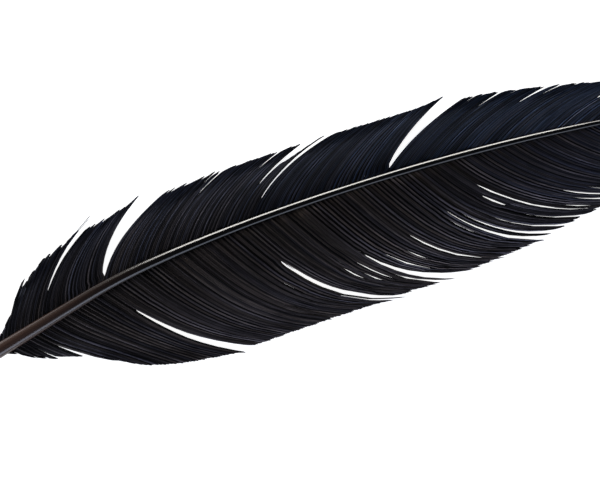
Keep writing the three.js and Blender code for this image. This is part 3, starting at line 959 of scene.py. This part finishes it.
class QUILL_OT_brass(bpy.types.Operator):
    """Add the brass ferrule that holds the nib and the ring at the quill's socket"""

    bl_idname = "quill.add_brass"
    bl_label = "Ferrule and Ring"

    def execute(self, context):
        settings = context.scene.quill_holder
        brass = metal_material("Turned Brass", settings.brass, settings.tarnish, 0.20, 0.40, 420.0, True)
        front, back = ferrule_low.x / MM, ferrule_high.x / MM
        tube = 3.72
        grooves = [(front + g + half, tube - deep) for g in (9.2, 10.4, 11.6)
                   for half, deep in ((-0.22, 0), (0, 0.14), (0.22, 0))]
        ferrule = [(front, 3.4), (front, 3.55), *rounded(front + 0.02, front + 1.3, tube - 0.02, 0.17),
                   (front + 1.5, tube), *grooves, *rounded(back - 1.6, back - 0.3, tube - 0.02, 0.17),
                   (back - 0.1, tube), (back, tube - 0.1), (back, 3.4), (front, 3.4)]
        bm = turn(ferrule, settings.turning_steps)
        self.punch(bm, front + 12.9, back)
        make_piece(bm, "ferrule_brass", brass, replaces="ferrule", sharp_angle=35)
        start, end = ring_low.x / MM, ring_high.x / MM
        third = (end - start) / 3
        ring = [(start, 3.65), (start, 3.8)]
        for i in range(3):
            ring += rounded(start + i * third + 0.06, start + (i + 1) * third - 0.06, 3.8, 0.28, 8)
        ring += [(end, 3.8), (end, 3.65), (start, 3.65)]
        bm = turn(ring, settings.turning_steps)
        make_piece(bm, "rear_ring_brass", brass, replaces="rear_ring", sharp_angle=35)
        return {"FINISHED"}

    def punch(self, bm, at, back):
        """Three small round dents that hold the ferrule on the wood."""
        for vert in bm.verts:
            x, y, z = vert.co / MM
            out = Vector((y - AXIS_Y, z - AXIS_Z))
            if out.length < 3.6 or x > back - 0.2:
                continue
            turn_angle = math.atan2(out.y, out.x)
            for dent in (math.radians(a) for a in (90, 210, 330)):
                side = math.remainder(turn_angle - dent, math.tau) * out.length
                depth = 0.12 * math.exp(-(((x - at) / 0.35) ** 2 + (side / 0.35) ** 2))
                vert.co.y -= out.normalized().x * depth * MM
                vert.co.z -= out.normalized().y * depth * MM


# ------------------------------------------------------------------ nib and clip

NIB_RADIUS = 3.08
NIB_SHEET = 0.25
NIB_LENGTH = 28.2
NIB_HALF_ARC = [(0, 3.6), (12, 3.6), (15, 3.3), (20, 1.9), (25, 0.85), (28.2, 0.22)]
NIB_DROOP = 0.6
BREATHER_AT = 16.0
BREATHER_RADIUS = 0.6
SLIT_WIDTH = 0.12


def cut_away(piece, cutter):
    """Takes the cutter's shape out of the piece for good."""
    difference = piece.modifiers.new("cut", "BOOLEAN")
    difference.object = cutter
    difference.solver = "MANIFOLD"
    graph = bpy.context.evaluated_depsgraph_get()
    cut = bpy.data.meshes.new_from_object(piece.evaluated_get(graph))
    piece.modifiers.clear()
    whole = piece.data
    piece.data = cut
    bpy.data.meshes.remove(whole)
    bpy.data.objects.remove(cutter)


class QUILL_OT_nib(bpy.types.Operator):
    """Add the pull-out steel nib, with its slit and breather hole, and the spring clip"""

    bl_idname = "quill.add_nib"
    bl_label = "Nib and Clip"

    def execute(self, context):
        settings = context.scene.quill_holder
        bronzed = metal_material("Bronzed Steel", settings.bronzed_steel, settings.bright_steel,
                                 0.22, 0.34, 260.0, False)
        spring = metal_material("Spring Steel", settings.bright_steel, settings.bronzed_steel,
                                0.18, 0.35, 500.0, False)
        bm = bmesh.new()
        bmesh.ops.create_grid(bm, x_segments=70, y_segments=30, size=0.5)
        heel = nib_high.x / MM
        for vert in bm.verts:
            along = NIB_LENGTH * (0.5 - vert.co.x)
            angle = 2 * vert.co.y * ease(NIB_HALF_ARC, along) / NIB_RADIUS
            radius = NIB_RADIUS + 0.10 * self.pressed(along, abs(vert.co.y) * 2)
            u = min(1, max(0, (along - BREATHER_AT) / (NIB_LENGTH - BREATHER_AT)))
            droop = NIB_DROOP * u * u * (3 - 2 * u)
            vert.co = Vector((heel - along, AXIS_Y + radius * math.sin(angle),
                              AXIS_Z + radius * math.cos(angle) - droop)) * MM
        bmesh.ops.recalc_face_normals(bm, faces=bm.faces)
        bmesh.ops.solidify(bm, geom=bm.faces[:], thickness=NIB_SHEET * MM)
        bmesh.ops.recalc_face_normals(bm, faces=bm.faces)
        piece = make_piece(bm, "nib_steel", bronzed, body="nib", replaces="nib")
        cut_away(piece, self.cutter(heel))
        piece.data.polygons.foreach_set("use_smooth", [True] * len(piece.data.polygons))
        piece.data.set_sharp_from_angle(angle=math.radians(40))
        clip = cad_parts["nib_clip"]
        clip.data.materials.clear()
        clip.data.materials.append(spring)
        return {"FINISHED"}

    def pressed(self, along, outward):
        """The pressed relief: a raised border round a sunk panel behind the breather hole."""
        panel = max(abs((along - 8.0) / 4.5), abs(outward / 0.55))
        return min(0, max(-1, (panel - 1) * 6)) if panel < 1 else 0

    def cutter(self, heel):
        """The slit and the breather hole as one solid."""
        centre = Vector((heel - BREATHER_AT, AXIS_Y, AXIS_Z + NIB_RADIUS)) * MM
        bm = bmesh.new()
        bmesh.ops.create_cone(bm, segments=48, radius1=BREATHER_RADIUS * MM, radius2=BREATHER_RADIUS * MM,
                              depth=4 * MM, cap_ends=True, matrix=Matrix.Translation(centre))
        length = NIB_LENGTH - BREATHER_AT + 1
        middle = centre - Vector((length / 2, 0, 0)) * MM
        slit = bmesh.ops.create_cube(bm, size=MM)["verts"]
        bmesh.ops.scale(bm, vec=(length, SLIT_WIDTH, 3.6), verts=slit)
        bmesh.ops.translate(bm, vec=middle, verts=slit)
        return new_object("nib_cutter", mesh_of(bm, "nib_cutter"))


# ------------------------------------------------------------------ stage

VIEW_CENTRE = (99.5, -21.4)  # from the first barbs, along and across the barrel
VIEW_TURN = 31.5  # degrees from the view's horizontal to the barrel


def add_light(name, aim, direction, distance, size, power, colour):
    """An area light that faces aim from a direction."""
    light = bpy.data.lights.new(name, "AREA")
    light.shape = "RECTANGLE"
    light.size, light.size_y = size
    light.energy = power
    light.color = colour
    lamp = new_object(name, light)
    lamp.location = aim + Vector(direction).normalized() * distance
    lamp.rotation_euler = (lamp.location - aim).to_track_quat("Z", "Y").to_euler()


class QUILL_OT_stage(bpy.types.Operator):
    """Add the pale floor, the lights and the camera"""

    bl_idname = "quill.add_stage"
    bl_label = "Stage"

    def execute(self, context):
        settings = context.scene.quill_stage
        self.add_floor(settings)
        aim = Vector((FIRST_BARBS_X + VIEW_CENTRE[0], AXIS_Y + VIEW_CENTRE[1], 5)) * MM
        add_light("Window Slot", aim, (0.32, 0.95, 0.25), 0.9, (0.54, 0.11), 8.0, (1.0, 0.97, 0.91))
        add_light("Near Softbox", aim, (-0.25, -0.97, 0.55), 1.1, (1.0, 0.6), 8.2, (0.74, 0.82, 1.0))
        add_light("Far Softbox", aim, (0.5, 0.80, 0.9), 1.1, (0.7, 0.4), 0.7, (0.66, 0.80, 1.0))
        self.add_surround(settings)
        self.add_camera(settings, aim)
        context.scene.view_settings.view_transform = "Standard"
        context.scene.view_settings.look = "None"
        return {"FINISHED"}

    def add_floor(self, settings):
        bm = bmesh.new()
        bmesh.ops.create_grid(bm, x_segments=2, y_segments=2, size=3.0)
        bmesh.ops.translate(bm, vec=(0, 0, -0.2 * MM), verts=bm.verts)
        floor = new_object("floor", mesh_of(bm, "floor"))
        material, _ = new_material("White Floor", {
            "Base Color": (0.8, 0.8, 0.8, 1), "Roughness": 0.9, "Specular IOR Level": 0.0,
            "Emission Color": (1, 1, 1, 1), "Emission Strength": settings.floor_white})
        floor.data.materials.append(material)
        floor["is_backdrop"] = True

    def add_surround(self, settings):
        world = bpy.data.worlds.new("Studio")
        bpy.context.scene.world = world
        world.use_nodes = True
        sky = world.node_tree.nodes["Background"]
        sky.inputs["Color"].default_value = (0.86, 0.92, 1.0, 1)
        sky.inputs["Strength"].default_value = settings.sky

    def add_camera(self, settings, aim):
        camera = bpy.data.cameras.new("Camera")
        camera.lens = settings.lens
        height = settings.view_width * settings.lens / camera.sensor_width
        eye = new_object("Camera", camera)
        eye.location = aim + Vector((0, 0, height))
        eye.rotation_euler = (0, 0, math.radians(-VIEW_TURN))
        camera.clip_start = 0.01
        bpy.context.scene.camera = eye


# ------------------------------------------------------------------ panel and registration


class QUILL_PT_panel(bpy.types.Panel):
    bl_label = "Quill Pen"
    bl_space_type = "VIEW_3D"
    bl_region_type = "UI"
    bl_category = "Quill Pen"

    def draw(self, context):
        for operator in OPERATORS:
            self.layout.operator(operator.bl_idname)
        for group in SETTINGS:
            settings = getattr(context.scene, group)
            for name in settings.__annotations__:
                self.layout.prop(settings, name)


OPERATORS = (QUILL_OT_stage, QUILL_OT_shaft, QUILL_OT_vanes, QUILL_OT_grip, QUILL_OT_brass, QUILL_OT_nib)
SETTINGS = {"quill_feather": FeatherSettings, "quill_holder": HolderSettings, "quill_stage": StageSettings}


def register():
    for settings in SETTINGS.values():
        bpy.utils.register_class(settings)
    for cls in (*OPERATORS, QUILL_PT_panel):
        bpy.utils.register_class(cls)
    for name, settings in SETTINGS.items():
        setattr(bpy.types.Scene, name, bpy.props.PointerProperty(type=settings))


def unregister():
    for name in SETTINGS:
        delattr(bpy.types.Scene, name)
    for cls in (QUILL_PT_panel, *reversed(OPERATORS), *SETTINGS.values()):
        bpy.utils.unregister_class(cls)


def main():
    register()
    bpy.ops.quill.add_stage()
    bpy.ops.quill.add_shaft()
    bpy.ops.quill.add_vanes()
    bpy.ops.quill.add_grip()
    bpy.ops.quill.add_brass()
    bpy.ops.quill.add_nib()
    boxes = {"cad": CAD_BOX, "visual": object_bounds()}
    {name: [list(corner) for corner in box] for name, box in boxes.items()}


if __name__ == "__main__":
    main()
